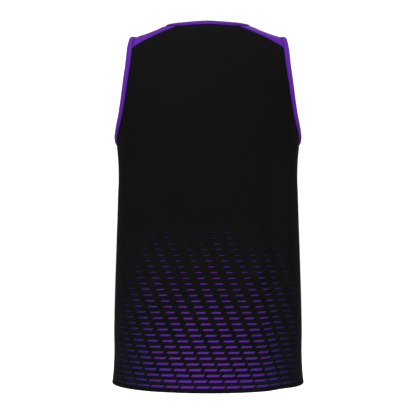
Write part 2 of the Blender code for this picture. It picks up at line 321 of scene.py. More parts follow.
# Soft folds pressed into the two panels. Facing is 1 for the back and -1 for the front.
foldPlan = {
    # facing, across at the top, top, across at the bottom, bottom, half its width, depth
    "drapes": (
        (1, -0.118, -0.170, -0.150, -0.728, 0.040, 0.0115),
        (1, 0.085, -0.330, 0.070, -0.728, 0.045, 0.0025),
        (-1, 0.110, -0.200, 0.140, -0.728, 0.042, 0.0085),
        (-1, -0.060, -0.300, -0.090, -0.728, 0.050, 0.0050),
    ),
    "drapeFade": 0.130,
    "drapeAtHem": 0.35,
    # facing, across and height where it starts, across and height where it ends, half its width,
    # depth (a ridge is below zero), and how far it bows
    "creases": (
        (1, -0.160, -0.225, -0.098, -0.330, 0.011, 0.0011, 0.006),
        (1, -0.170, -0.262, -0.128, -0.400, 0.013, 0.0012, -0.004),
        (1, 0.163, -0.228, 0.112, -0.315, 0.012, 0.0009, -0.006),
        (1, 0.172, -0.270, 0.143, -0.430, 0.015, 0.0010, 0.005),
        (1, -0.030, -0.008, -0.046, -0.110, 0.010, 0.0005, 0.003),
        (1, 0.012, -0.008, 0.016, -0.092, 0.009, 0.0005, 0.000),
        (1, -0.076, -0.450, -0.092, -0.735, 0.020, -0.0016, 0.004),
        (1, 0.128, -0.560, 0.146, -0.740, 0.022, 0.0015, -0.003),
        (1, 0.020, -0.600, 0.010, -0.740, 0.026, 0.0010, 0.003),
        (-1, 0.158, -0.225, 0.094, -0.330, 0.012, 0.0012, -0.006),
        (-1, -0.160, -0.222, -0.104, -0.305, 0.012, 0.0012, 0.006),
        (-1, -0.172, -0.268, -0.136, -0.440, 0.014, 0.0012, -0.004),
        (-1, 0.064, -0.130, 0.044, -0.235, 0.013, 0.0008, 0.004),
        (-1, -0.060, -0.120, -0.036, -0.230, 0.013, 0.0009, -0.004),
        (-1, 0.030, -0.520, 0.042, -0.740, 0.024, 0.0014, 0.004),
        (-1, -0.135, -0.560, -0.150, -0.740, 0.020, 0.0014, 0.003),
    ),
    "creaseFade": 0.35,
    "creaseTaper": (0.7, 0.6),  # its width at the start, and what is added along it
    "seamHold": 0.022,  # folds die away over this distance from a seam
}


def foldedIn(points, facing, hold):
    # hold is 0 at a seam and 1 away from it
    across = points[..., 0]
    height = points[..., 2]
    pressed = np.zeros(height.shape)
    fade = foldPlan["drapeFade"]
    atHem = foldPlan["drapeAtHem"]
    soft = foldPlan["creaseFade"]
    narrow, widening = foldPlan["creaseTaper"]
    for side, acrossTop, top, acrossBottom, bottom, halfWidth, depth in foldPlan["drapes"]:
        if side != facing:
            continue
        middle = np.interp(height, (bottom, top), (acrossBottom, acrossTop))
        beside = np.clip((across - middle) / halfWidth, -1, 1)
        share = atHem + (1 - atHem) * eased((height - bottom) / fade)
        share = share * eased((top - height) / fade)
        pressed += depth * share * np.cos(np.pi / 2 * beside) ** 2
    for side, x0, z0, x1, z1, halfWidth, depth, bow in foldPlan["creases"]:
        if side != facing:
            continue
        length = math.hypot(x1 - x0, z1 - z0)
        along = ((across - x0) * (x1 - x0) + (height - z0) * (z1 - z0)) / length**2
        beside = ((across - x0) * (z1 - z0) - (height - z0) * (x1 - x0)) / length
        beside = beside - bow * 4 * along * (1 - along)
        beside = beside / (halfWidth * (narrow + widening * along))
        share = eased(along / soft) * eased((1 - along) / soft)
        pressed += depth * share * hold * np.cos(np.pi / 2 * np.clip(beside, -1, 1)) ** 2
    return points - outward(points) * pressed[..., None]


# The knit and how its edges are turned at the seams and at the hem
clothPlan = {
    "thickness": 0.0006,
    "turnRadius": 0.0007,
    "allowance": (0.0005, 0.0045),  # inside a binding or the hem, and in the open
    "allowanceFade": 0.004,
    "boundClear": 0.0030,  # how far a binding's inner leg covers the end of a seam
    "tuck": 0.0020,  # how far a raw edge reaches into its binding
    "hemDepth": 0.020,
    "hemRadius": 0.00095,
    "hemRows": 6,
    "seamPress": 0.00001,  # the two sides of a seam press into each other by this much
    "weld": 0.00002,  # points nearer than this are one
    "cutMiddle": 0.3,  # where the centre line and the hem's fold lie on the cut map
    "cutFoot": 0.03,
    "edgeCut": (0.3, 0.95),  # an unprinted spot of the cut map, for the turned edges
}


# The two strips over the shoulders, with the small pinches beside their seams
stripPlan = {
    "pinchDepth": 0.00035,
    "pinchPitch": 0.0115,
    "pinchReach": 0.010,
    "pinchLean": 0.0067,  # how far a pinch drifts along the seam as it leaves it
    "pinchHold": 0.0015,
    "pinchMix": (1.6, 1.0, 0.6),  # pressed in everywhere, along the ends and along the seams
    "pinchSpread": 0.8,  # the pitch along the seams, as a share of the one along the ends
    "lap": 0.0021,  # how far the strip laps back over the seam behind the shoulder
    "neckRise": 0.0016,  # how far the seam inside lifts the strip beside the neck's binding
    "neckRiseSpan": (0.005, 0.024),
}


def sewingDirections(line, closedRing=False):
    # Unit normals of a seam line, and the unit directions square to it in the cloth's face
    normals = outward(line)
    if closedRing:
        tangents = np.roll(line, -1, axis=0) - np.roll(line, 1, axis=0)
    else:
        tangents = np.gradient(line, axis=0)
    return normals, unit(np.cross(unit(tangents), normals))


def besideSeam(line, facing):
    # Unit directions square to a seam in the cloth's face, towards the back or the front
    _, across = sewingDirections(line)
    return across * np.sign(facing * across[:, 1:2])


def ringOf(kind):
    # The whole ring of an opening's seam: the left armhole, or the neck with both its halves
    if kind == "armhole":
        return np.vstack([stretch[:-1] for stretch in seams["armhole"].values()])
    parts = seams["neck"]
    half = np.vstack([parts["back"], parts["crest"][1:], parts["front"][1:]])
    return np.vstack([half, half[-2:0:-1] * (-1, 1, 1)])


def directionsInto(kind):
    # For each stretch of an opening's seam, the directions that point into the opening
    ring = ringOf(kind)
    _, into = sewingDirections(ring, closedRing=True)
    into = np.vstack([into, into[:1]])
    split = {}
    start = 0
    for name, stretch in seams[kind].items():
        split[name] = into[start : start + len(stretch)]
        start += len(stretch) - 1
    return split


def turnedEdge(edge, away, startClear, endClear):
    # Rows that roll an edge in and carry it on inside as its seam allowance, which is cut short
    # where a binding or the hem covers the ends of the seam
    radius = clothPlan["turnRadius"]
    fade = clothPlan["allowanceFade"]
    short, wide = clothPlan["allowance"]
    normals = outward(edge)
    run = runAlong(edge)
    share = eased((run - startClear) / fade) * eased((run[-1] - endClear - run) / fade)
    allowance = (short + (wide - short) * share)[:, None]
    rows = [edge]
    for angle in np.radians((30, 60, 90)):
        rows.append(edge + away * radius * np.sin(angle) - normals * radius * (1 - np.cos(angle)))
    for _ in range(2):
        rows.append(rows[-1] - normals * allowance / 2)
    return np.array(rows)


def tuckedEdge(edge, into):
    # Rows that carry a raw edge flat into the fold of its binding
    return np.array([edge + into * clothPlan["tuck"] * share for share in (0, 0.5, 1)])


# The tip of each shoulder, where the armhole's binding draws the cloth up and inwards
tipPlan = {
    "across": 0.152,
    "acrossReach": 0.026,
    "depthReach": 0.036,
    "heights": (-0.110, -0.050),  # it fades out below the shoulder
    "inward": 0.0022,
    "up": 0.0026,
}


def tipDrawn(points):
    # The points as the pull at the tip of a shoulder leaves them
    across = np.abs(points[..., 0])
    share = eased(1 - (tipPlan["across"] - across) / tipPlan["acrossReach"])
    share = share * eased(1 - np.abs(points[..., 1]) / tipPlan["depthReach"])
    low, high = tipPlan["heights"]
    share = share * eased((points[..., 2] - low) / (high - low))
    drawn = np.array(points, float)
    drawn[..., 0] -= np.sign(points[..., 0]) * tipPlan["inward"] * share
    drawn[..., 2] += tipPlan["up"] * share
    return drawn


def placed(name, data):
    # A new object that holds the data, in the scene
    thing = bpy.data.objects.new(name, data)
    bpy.context.scene.collection.objects.link(thing)
    return thing


def reachOf(points, lines):
    # The distance from each point to the nearest point of the seam lines
    flat = points.reshape(-1, 3)
    nearest = np.full(len(flat), np.inf)
    targets = np.vstack(lines)
    batch = 60
    for first in range(0, len(targets), batch):
        gaps = flat[:, None] - targets[None, first : first + batch]
        nearest = np.minimum(nearest, np.sqrt((gaps**2).sum(-1)).min(1))
    return nearest.reshape(points.shape[:-1])


def buildPiece(name, grids, materials, thickness, faceShare=0.5):
    # Joins grids of points into one cloth object. Each grid is (points, cut, reach), and a face
    # this share of the way through the first one looks out of the garment
    places = []
    cuts = []
    reaches = []
    faces = []
    count = 0
    for points, cut, reach in grids:
        rows, columns = points.shape[:2]
        index = np.arange(rows * columns).reshape(rows, columns) + count
        quads = np.stack([index[:-1, :-1], index[:-1, 1:], index[1:, 1:], index[1:, :-1]], axis=-1)
        faces.append(quads.reshape(-1, 4))
        places.append(tipDrawn(points).reshape(-1, 3))
        cuts.append(np.broadcast_to(cut, points.shape[:2] + (2,)).reshape(-1, 2))
        reaches.append(np.broadcast_to(reach, points.shape[:2]).reshape(-1))
        count += rows * columns
    mainFaces = len(faces[0])
    data = bpy.data.meshes.new(name)
    data.from_pydata(np.vstack(places).tolist(), [], np.vstack(faces).tolist())
    corners = np.empty(len(data.loops), dtype=np.int32)
    data.loops.foreach_get("vertex_index", corners)
    cutMap = data.uv_layers.new(name="cut")
    cutMap.uv.foreach_set("vector", np.vstack(cuts)[corners].astype(np.float32).ravel())
    reachMap = data.attributes.new("seamReach", "FLOAT", "POINT")
    reachMap.data.foreach_set("value", np.concatenate(reaches).astype(np.float32))

    mesh = bmesh.new()
    mesh.from_mesh(data)
    mesh.faces.ensure_lookup_table()
    front = mesh.faces[int(mainFaces * faceShare)]
    bmesh.ops.remove_doubles(mesh, verts=mesh.verts, dist=clothPlan["weld"])
    bmesh.ops.recalc_face_normals(mesh, faces=mesh.faces)
    middle = np.array(front.calc_center_median())
    if np.dot(np.array(front.normal), outward(middle[None])[0]) < 0:
        bmesh.ops.reverse_faces(mesh, faces=mesh.faces)
    mesh.to_mesh(data)
    mesh.free()

    for material in materials:
        data.materials.append(material)
    data.shade_smooth()
    piece = placed(name, data)
    wall = piece.modifiers.new("cloth", "SOLIDIFY")
    wall.thickness = thickness
    wall.offset = -1
    wall.use_quality_normals = True
    wall.material_offset = len(materials) - 1
    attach(piece, "root")
    return piece


def halfPanel(side):
    # The left half of a panel as two grids, with the seam edges drawn back to make room
    facing = 1 if side == "back" else -1
    foot = seams["armhole"][side + "Foot"][::-facing]
    armhole = seams["armhole"][side][::-facing]
    neck = seams["neck"][side][::-facing]
    shoulder = seams["shoulder"][side]
    intoArm = directionsInto("armhole")
    intoNeck = directionsInto("neck")

    yokeFoot = levelLine(foot[-1, 2], abs(foot[-1, 1]), facing)
    yokeFoot = spaced(np.vstack([foot[-1], yokeFoot]), len(neck) - 1 + weaveCells["shoulder"])
    top = np.vstack([foot, yokeFoot[1:]])
    hem = figure["hemHeight"]
    radius = clothPlan["hemRadius"]
    heights = np.linspace(hem + radius, hem + clothPlan["hemDepth"], clothPlan["hemRows"])
    outer = np.array([spaced(levelLine(height, 0, facing), len(top) - 1) for height in heights])
    sideHeights = np.linspace(heights[-1], foot[0, 2], weaveCells["body"] + 1)
    sideSeam = np.zeros((len(sideHeights), 3))
    sideSeam[:, 0] = sectionAt(sideHeights)[0]
    sideSeam[:, 2] = sideHeights
    centre = spaced(settledBetween(outer[-1, -1], top[-1]), weaveCells["body"])
    body = np.vstack([outer, patch(outer[-1], top, sideSeam, centre)[1:]])
    body[:, 0, 1] = 0
    yokeTop = np.vstack([shoulder, neck[1:]])
    yokeCentre = spaced(settledBetween(yokeFoot[-1], yokeTop[-1]), len(armhole) - 1)
    yoke = patch(yokeFoot, yokeTop, armhole, yokeCentre)

    # room for the rolled edges
    intoSide = besideSeam(body[:, 0], -facing)
    intoShoulder = besideSeam(shoulder, -facing)
    draw = clothPlan["turnRadius"] - clothPlan["seamPress"]
    shoulderDraw = draw + (stripPlan["lap"] if side == "back" else 0)
    cells = len(foot)
    body[:, 0] -= intoSide * draw
    yoke[-1, : len(shoulder)] -= intoShoulder * shoulderDraw

    # the hem turns up inside
    normals = outward(outer)
    down = np.array((0, 0, -1.0))
    inner = outer[::-1] - 2 * radius * normals[::-1]
    inner[:, 0] += intoSide[: len(heights)][::-1] * clothPlan["seamPress"]
    centreOfFold = body[0] - radius * normals[0]
    angles = np.radians((36, 72, 108, 144))[:, None, None]
    fold = centreOfFold + radius * (down * np.sin(angles) - normals[0] * np.cos(angles))
    fold[:, 0] += intoSide[0] * draw * (1 - angles[:, 0] / np.pi)
    body = np.vstack([inner, fold, body])
    turned = len(inner) + len(fold)

    def cutOf(grid, up):
        across = runAcross(grid[:, ::-1])[:, ::-1]
        return np.stack([clothPlan["cutMiddle"] + across, clothPlan["cutFoot"] + up], axis=-1)

    bodyUp = body[..., 2] - hem
    bodyUp[:turned] *= -1
    yokeUp = bodyUp[-1, cells - 1 :] + runAlong(yoke)
    covered = clothPlan["boundClear"]
    return {
        "body": (body, cutOf(body, bodyUp)),
        "yoke": (yoke, cutOf(yoke, yokeUp)),
        "edges": [
            turnedEdge(body[turned:, 0], intoSide, clothPlan["hemDepth"], covered),
            turnedEdge(yoke[-1, : len(shoulder)], intoShoulder, covered, covered),
            tuckedEdge(body[-1, :cells], intoArm[side + "Foot"][::-facing]),
            tuckedEdge(yoke[:, 0], intoArm[side][::-facing]),
        ],
        "collar": tuckedEdge(yoke[-1, len(shoulder) - 1 :], intoNeck[side][::-facing]),
        "lines": [body[turned:, 0], foot, armhole, shoulder, neck],
    }


def mirroredCut(cut):
    # The cut map of a half panel with that of its mirrored half beside it
    flipped = cut[:, -2::-1] * (-1, 1) + (2 * clothPlan["cutMiddle"], 0)
    return np.concatenate([cut, flipped], axis=1)


def makePanel(side, materials):
    facing = 1 if side == "back" else -1
    half = halfPanel(side)
    lines = half["lines"] + [line * (-1, 1, 1) for line in half["lines"]]
    grids = []
    for name in ("body", "yoke"):
        grid, cut = half[name]
        grid = wholeOf(grid)
        reach = reachOf(grid, lines)
        folded = foldedIn(grid, facing, eased(reach / foldPlan["seamHold"]))
        grids.append((folded, mirroredCut(cut), reach))
    for rows in half["edges"]:
        for turn in (1, -1):
            grids.append((foldedIn(rows * (turn, 1, 1), facing, 0), clothPlan["edgeCut"], 0))
    grids.append((wholeOf(half["collar"]), clothPlan["edgeCut"], 0))
    return buildPiece(side + "_panel", grids, materials, clothPlan["thickness"])


def makeShoulderStrip(side, materials):
    # A strip as an object, and its grid of points for the needle to follow
    turn = 1 if side == "left" else -1
    shoulder = seams["shoulder"]
    crest = seams["armhole"]["crest"][::-1]
    grid = patch(shoulder["back"], shoulder["front"], crest, seams["neck"]["crest"])
    draw = clothPlan["turnRadius"] - clothPlan["seamPress"]
    intoArm = directionsInto("armhole")["crest"][::-1]
    intoNeck = directionsInto("neck")["crest"]
    towardsBack = besideSeam(shoulder["back"], 1)
    towardsFront = besideSeam(shoulder["front"], -1)
    grid[0] -= towardsBack * (draw - stripPlan["lap"])
    grid[-1] -= towardsFront * draw

    reach = reachOf(grid, [shoulder["back"], shoulder["front"], crest, seams["neck"]["crest"]])
    across = runAcross(grid)
    up = runAlong(grid)
    beside = 1 - eased(reach / stripPlan["pinchReach"])
    held = eased(reach / stripPlan["pinchHold"])
    turnsPerMetre = 2 * np.pi / stripPlan["pinchPitch"]
    alongEnds = np.sin(turnsPerMetre * up + across / stripPlan["pinchLean"] + turn)
    along = across / stripPlan["pinchSpread"]
    alongSeams = np.sin(turnsPerMetre * along + up / stripPlan["pinchLean"] + 2 * turn)
    everywhere, ends, sides = stripPlan["pinchMix"]
    pinch = everywhere + ends * alongEnds + sides * alongSeams
    pinch = stripPlan["pinchDepth"] * beside * held * pinch
    fromNeck = across[:, -1:] - across
    near, far = stripPlan["neckRiseSpan"]
    rise = stripPlan["neckRise"] * eased(fromNeck / near) * eased(1 - fromNeck / far)
    rise = rise * eased(1 - np.abs(grid[..., 1]) / tipPlan["depthReach"])
    grid = grid - outward(grid) * (pinch - rise)[..., None]
    cut = np.stack([clothPlan["cutMiddle"] + across, clothPlan["cutFoot"] + up], axis=-1)

    covered = clothPlan["boundClear"]
    grids = [(grid * (turn, 1, 1), cut, reach)]
    for rows in (
        tuckedEdge(grid[:, 0], intoArm),
        tuckedEdge(grid[:, -1], intoNeck),
        turnedEdge(grid[0], towardsBack, covered, covered),
        turnedEdge(grid[-1], towardsFront, covered, covered),
    ):
        grids.append((rows * (turn, 1, 1), clothPlan["edgeCut"], 0))
    name = "shoulder_strip_" + side
    return buildPiece(name, grids, materials, clothPlan["thickness"]), grid * (turn, 1, 1)


# The strips folded over the raw edges of the neck and the armholes
bindingPlan = {
    "neckWidth": 0.0092,
    "armholeWidth": 0.0116,
    "proud": 0.0006,
    "flare": 0.25,
    "crestFlare": 0.02,  # the neck's binding lies down as it crosses the shoulder
    "crestSpan": (0.018, 0.050),
    "crown": 0.0014,
    "seamTurn": 0.00055,
    "turnedUnder": 0.0016,  # the raw edge folded under the outer leg
    "edgeRoll": 0.0011,
    "innerReach": 0.0022,  # how far the inner leg carries on past the seam
    "innerStand": -0.00118,
    "thickness": 0.0005,
    "facePoints": 9,
    "pucker": 0.00013,
    "puckerPitch": 0.0093,
    "puckerHold": 0.003,
    "slowPucker": (0.7, 7),  # its share, and how often it comes round the ring
    "legPoints": 10,
    "bodyShare": 0.4,  # a face of the ring that looks out lies this far through it
}


def bindingStand(reach, width):
    # How far a binding's face stands off the cloth at a distance into the opening
    share = reach / width
    crown = bindingPlan["crown"] * np.sin(np.pi * share)
    return bindingPlan["proud"] + bindingPlan["flare"] * reach + crown


def bindingProfile(width):
    # The folded strip's cross-section as (reach into the opening, height off the cloth)
    turn = bindingPlan["seamTurn"]
    roll = bindingPlan["edgeRoll"]
    start = seamPlan["gap"] + turn
    foot = bindingStand(start, width) - turn
    under = start + bindingPlan["turnedUnder"]
    points = [(under, foot - turn), ((under + start) / 2, foot - turn)]
    for angle in np.radians((270, 240, 210, 180, 150, 120)):
        points.append((start + turn * np.cos(angle), foot + turn * np.sin(angle)))
    for reach in np.linspace(start, width - roll, bindingPlan["facePoints"]):
        points.append((reach, bindingStand(reach, width)))
    centre = bindingStand(width - roll, width) - roll
    for angle in np.radians((65, 40, 15, -10, -35, -60, -85)):
        points.append((width - roll + roll * np.cos(angle), centre + roll * np.sin(angle)))
    # the inner leg dives under the tucked edge and lies along the inside of the cloth
    last = points[-1]
    inner = bindingPlan["innerStand"]
    for reach in np.linspace(last[0], -bindingPlan["innerReach"], bindingPlan["legPoints"])[1:]:
        share = eased((reach - clothPlan["tuck"]) / (last[0] - clothPlan["tuck"]))
        points.append((reach, inner + (last[1] - inner) * share))
    return np.array(points)


def crestLay(ring, kind):
    # How much each point of a ring loses of its flare: the neck's where it crosses the shoulder
    if kind == "armhole":
        return np.zeros(len(ring))
    near, far = bindingPlan["crestSpan"]
    beside = eased((np.abs(ring[:, 1]) - near) / (far - near))
    return (bindingPlan["flare"] - bindingPlan["crestFlare"]) * (1 - beside)


def makeBinding(name, kind, turn, materials):
    # A binding as an object, and the needle's line with its normals. Turn is -1 on the right.
    ring = ringOf(kind)
    normals, into = sewingDirections(ring, closedRing=True)
    ring, normals, into = (np.vstack([rows, rows[:1]]) for rows in (ring, normals, into))
    width = bindingPlan[kind + "Width"]
    profile = bindingProfile(width)
    run = runAlong(ring)
    pitch = run[-1] / round(run[-1] / bindingPlan["puckerPitch"])
    share, waves = bindingPlan["slowPucker"]
    pucker = np.sin(2 * np.pi * run / pitch) + share * np.sin(2 * np.pi * waves * run / run[-1])
    reach = profile[:, :1]
    free = eased(reach / bindingPlan["puckerHold"])
    stand = profile[:, 1:] + bindingPlan["pucker"] * pucker * free
    stand = stand - crestLay(ring, kind) * np.maximum(reach, 0)
    grid = (ring + into * reach[..., None] + normals * stand[..., None]) * (turn, 1, 1)
    around = np.concatenate([[0], np.cumsum(np.linalg.norm(np.diff(profile, axis=0), axis=1))])
    cut = np.empty(grid.shape[:2] + (2,))
    cut[..., 0] = clothPlan["cutMiddle"] + around[:, None]
    cut[..., 1] = clothPlan["cutFoot"] + run
    fromSeam = np.abs(reach) + np.zeros(grid.shape[:2])
    grids = [(grid, cut, fromSeam)]
    thickness = bindingPlan["thickness"]
    piece = buildPiece(name, grids, materials, thickness, bindingPlan["bodyShare"])
    # the line on the face that the needle follows
    needle = sewingPlan["bindingReach"]
    height = bindingStand(needle, width) - crestLay(ring, kind) * needle
    line = ring + into * needle + normals * height[:, None]
    return piece, (line * (turn, 1, 1), normals * (turn, 1, 1))


# Rows of thread: each stitch is a short raised bead of thread sunk a little into the cloth
sewingPlan = {
    "stitch": 0.0026,
    "step": 0.0031,
    "thread": 0.00022,  # half its thickness
    "arch": 0.00012,
    "sides": 6,
    "along": (-1.0, -0.72, 0.0, 0.72, 1.0),  # where a stitch has its rings, as shares of half of it
    "girth": (0.25, 0.85, 1.0, 0.85, 0.25),
    "hemRows": (0.0180, 0.0132),  # heights of the two needles over the hem's fold
    "hemPoints": 150,
    "hemClear": 0.004,  # how near to a side seam the hem's stitches stop
    "bindingReach": 0.0026,  # the needles' distances from the seams
    "stripReach": 0.0032,
}


def sewRows(name, rows, material):
    # One object of stitches along lines, each line given with its normals
    sides = sewingPlan["sides"]
    around = np.linspace(0, 2 * np.pi, sides, endpoint=False)
    along = np.array(sewingPlan["along"])
    girth = np.array(sewingPlan["girth"]) * sewingPlan["thread"]
    places = []
    faces = []
    ring = np.arange(sides)
    quads = []
    for level in range(len(along) - 1):
        first = level * sides + ring
        second = level * sides + np.roll(ring, -1)
        quads.append(np.stack([first, second, second + sides, first + sides], axis=1))
    quads = np.vstack(quads)
    caps = np.array((ring[::-1], ring + (len(along) - 1) * sides))
    count = 0
    capFaces = []
    for line, normals in rows:
        line = tipDrawn(line)
        run = runAlong(line)
        number = int(run[-1] / sewingPlan["step"])
        middles = (np.arange(number) + 0.5) * run[-1] / number
        start = readAlong(run, line, middles - sewingPlan["stitch"] / 2)
        end = readAlong(run, line, middles + sewingPlan["stitch"] / 2)
        up = unit(readAlong(run, normals, middles))
        half = (end - start) / 2
        centre = (start + end) / 2
        sideways = unit(np.cross(up, half))
        for k in range(number):
            lift = sewingPlan["arch"] * (1 - along**2)
            spine = centre[k] + along[:, None] * half[k] + lift[:, None] * up[k]
            spoke = np.cos(around)[:, None] * sideways[k] + np.sin(around)[:, None] * up[k]
            places.append((spine[:, None] + girth[:, None, None] * spoke[None]).reshape(-1, 3))
            faces.append(quads + count)
            capFaces.append(caps + count)
            count += len(along) * sides
    data = bpy.data.meshes.new(name)
    faces = np.vstack(faces).tolist() + np.vstack(capFaces).tolist()
    data.from_pydata(np.vstack(places).tolist(), [], faces)
    data.materials.append(material)
    data.shade_smooth()
    piece = placed(name, data)
    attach(piece, "root")
    return piece


def hemLine(facing, above):
    # A line round one panel's hem at a height over the fold, on the folded cloth
    half = levelLine(figure["hemHeight"] + above, 0, facing)
    half = spaced(half, sewingPlan["hemPoints"])
    line = wholeOf(half[None])[0]
    reach = reachOf(line, [line[:1], line[-1:]])
    line = foldedIn(line, facing, eased(reach / foldPlan["seamHold"]))
    line = line[reach > sewingPlan["hemClear"]]
    return line, outward(line)


def stripLine(grid, order):
    # A line over a shoulder strip at the needle's distance from the seam that order starts from
    lengths = runAlong(grid[order])
    reach = sewingPlan["stripReach"]
    line = []
    for column in range(1, grid.shape[1] - 1):
        line.append(readAlong(lengths[:, column], grid[order, column], [reach]))
    line = np.vstack(line)
    return line, outward(line)


def feed(tree, socket, value):
    # Links a socket to another, or sets its value
    if isinstance(value, bpy.types.NodeSocket):
        tree.links.new(value, socket)
    else:
        socket.default_value = value


def calc(tree, operation, *values):
    # A Math node's result
    node = tree.nodes.new("ShaderNodeMath")
    node.operation = operation
    for socket, value in zip(node.inputs, values):
        feed(tree, socket, value)
    return node.outputs[0]


def newMaterial(name):
    # The material, its node tree and its Principled shader
    material = bpy.data.materials.new(name)
    material.use_nodes = True
    tree = material.node_tree
    return material, tree, tree.nodes["Principled BSDF"]


def addBump(tree, height, strength, distance, under=None):
    # A bump laid over the normal under it
    node = tree.nodes.new("ShaderNodeBump")
    node.inputs["Strength"].default_value = strength
    node.inputs["Distance"].default_value = distance
    feed(tree, node.inputs["Height"], height)
    if under is not None:
        feed(tree, node.inputs["Normal"], under)
    return node.outputs["Normal"]


def remap(tree, value, low, high, toLow=0.0, toHigh=1.0, smooth=True):
    # Carries a value from one range to another
    node = tree.nodes.new("ShaderNodeMapRange")
    node.interpolation_type = "SMOOTHSTEP" if smooth else "LINEAR"
    for label, number in (
        ("Value", value),
        ("From Min", low),
        ("From Max", high),
        ("To Min", toLow),
        ("To Max", toHigh),
    ):
        feed(tree, node.inputs[label], number)
    return node.outputs["Result"]


def blendColours(tree, share, first, second):
    node = tree.nodes.new("ShaderNodeMix")
    node.data_type = "RGBA"
    feed(tree, node.inputs["Factor"], share)
    colours = [socket for socket in node.inputs if socket.type == "RGBA"]
    feed(tree, colours[0], first)
    feed(tree, colours[1], second)
    return next(socket for socket in node.outputs if socket.type == "RGBA")


def noiseOver(tree, place, scale, detail):
    node = tree.nodes.new("ShaderNodeTexNoise")
    feed(tree, node.inputs["Vector"], place)
    feed(tree, node.inputs["Scale"], scale)
    feed(tree, node.inputs["Detail"], detail)
    return node.outputs["Fac"]


def newGroup(name, inputs, outputs):
    # An empty shader group with named sockets: inputs are (name, kind, value), outputs (name, kind)
    group = bpy.data.node_groups.new(name, "ShaderNodeTree")
    for label, kind, value in inputs:
        socket = group.interface.new_socket(
            name=label, in_out="INPUT", socket_type="NodeSocket" + kind
        )
        if value is not None:
            socket.default_value = value
    for label, kind in outputs:
        group.interface.new_socket(name=label, in_out="OUTPUT", socket_type="NodeSocket" + kind)
    entry = group.nodes.new("NodeGroupInput")
    result = group.nodes.new("NodeGroupOutput")
    return group, entry.outputs, result.inputs


# How the knit's loops and the dye's unevenness are mixed
knitPlan = {
    "columnShare": 0.6,  # of a loop's height, the rest follows its row
    "gap": (0.55, 0.20),  # the loop's height where a gap starts and where it is open
    "slowDye": (9.0, 3.0, 0.30, 0.70),  # the noise's scale and detail, and the range that is used
    "fineDye": (420.0, 2.0, 0.25, 0.75),
    "slowShare": 0.6,
    # painted shade: how far the gaps between the loops are darkened, standing in for the shadow in
    # them
    "gapPaintedShade": 0.35,
    "sheenRoughness": 0.45,
    "waver": (26.0, 2.0, 0.6, 0.0012),  # scale, detail, strength and height of the soft unevenness
    "loopStrength": 0.5,
}


def knitLoopsGroup():
    # Columns of small V loops, worked out from the cut map in metres
    group, given, result = newGroup(
        "knitLoops",
        [
            ("Cut", "Vector", None),
            ("Wale Pitch", "Float", 0.0009),
            ("Course Pitch", "Float", 0.0008),
            ("Slant", "Float", 0.9),
        ],
        [("Height", "Float"), ("Gap", "Float")],
    )
    parts = group.nodes.new("ShaderNodeSeparateXYZ")
    group.links.new(given["Cut"], parts.inputs[0])
    wale = calc(group, "DIVIDE", parts.outputs["X"], given["Wale Pitch"])
    course = calc(group, "DIVIDE", parts.outputs["Y"], given["Course Pitch"])
    beside = calc(group, "ABSOLUTE", calc(group, "SUBTRACT", calc(group, "FRACT", wale), 0.5))
    course = calc(group, "ADD", course, calc(group, "MULTIPLY", beside, given["Slant"]))
    column = calc(group, "SINE", calc(group, "MULTIPLY", calc(group, "FRACT", wale), math.pi))
    row = calc(group, "SINE", calc(group, "MULTIPLY", calc(group, "FRACT", course), math.pi))
    share = knitPlan["columnShare"]
    height = calc(group, "MULTIPLY_ADD", column, share, calc(group, "MULTIPLY", row, 1 - share))
    group.links.new(height, result["Height"])
    group.links.new(remap(group, height, *knitPlan["gap"]), result["Gap"])
    return group


def dyeAndPaintedShadeGroup():
    # Slow and fine unevenness of the dye, and painted shade that darkens the cloth beside a seam
    group, given, result = newGroup(
        "dyeAndPaintedSeamShade",
        [
            ("Color", "Color", (1, 1, 1, 1)),
            ("Place", "Vector", None),
            ("Reach", "Float", 1.0),
            ("Unevenness", "Float", 0.12),
            ("Seam Shade", "Float", 0.25),
            ("Painted Shade Width", "Float", 0.004),
        ],
        [("Color", "Color")],
    )
    waves = []
    for scale, detail, low, high in (knitPlan["slowDye"], knitPlan["fineDye"]):
        noise = noiseOver(group, given["Place"], scale, detail)
        waves.append(remap(group, noise, low, high, -1.0, 1.0))
    share = knitPlan["slowShare"]
    fine = calc(group, "MULTIPLY", waves[1], 1 - share)
    both = calc(group, "MULTIPLY_ADD", waves[0], share, fine)
    level = calc(group, "MULTIPLY_ADD", both, given["Unevenness"], 1.0)
    # painted shade: the colour darkens close to a seam, where the groove between the pieces lies in
    # shadow
    beside = remap(group, given["Reach"], 0.0, given["Painted Shade Width"], 1.0, 0.0)
    darker = calc(group, "MULTIPLY", given["Seam Shade"], -1.0)
    level = calc(group, "MULTIPLY", level, calc(group, "MULTIPLY_ADD", beside, darker, 1.0))
    scaled = group.nodes.new("ShaderNodeVectorMath")
    scaled.operation = "SCALE"
    group.links.new(given["Color"], scaled.inputs[0])
    group.links.new(level, scaled.inputs["Scale"])
    group.links.new(scaled.outputs[0], result["Color"])
    return group


# The printed band, in metres on the cut map. The dashes' sizes are those at the hem and those
# at the top of the band.
printPlan = {
    "plainHem": 0.0065,
    "bandHeight": 0.36,
    "waveHeight": 0.06,  # as a share of the band's height
    "waveLength": 0.12,
    "waveLean": 0.018,  # how much of a wave the next row is moved along by
    "rowPitch": 0.0112,
    "dashPitch": 0.0300,
    "slant": 0.9,
    "halfWidth": 0.2,  # of a panel
    "dashLength": (0.44, 0.10),  # half a dash, in dash pitches
    "dashThickness": (0.24, 0.06),  # half a dash, in row pitches
    "endFade": 0.035,  # how softly a dash ends, in the same pitches
    "edgeFade": 0.07,
    "bandFade": (1.0, 0.25),  # where up the band the ink is gone, and where it is full
    "hemFade": 0.0005,
    "middleInk": (0.115, 0.022, 0.340, 1),
    "sideInk": (0.018, 0.022, 0.125, 1),
    "inkTurn": (0.15, 1.0),  # where from the middle to the side one ink turns into the other
    "sideFade": (0.35, 1.20),  # where towards the side the ink thins, and where it would be gone
}


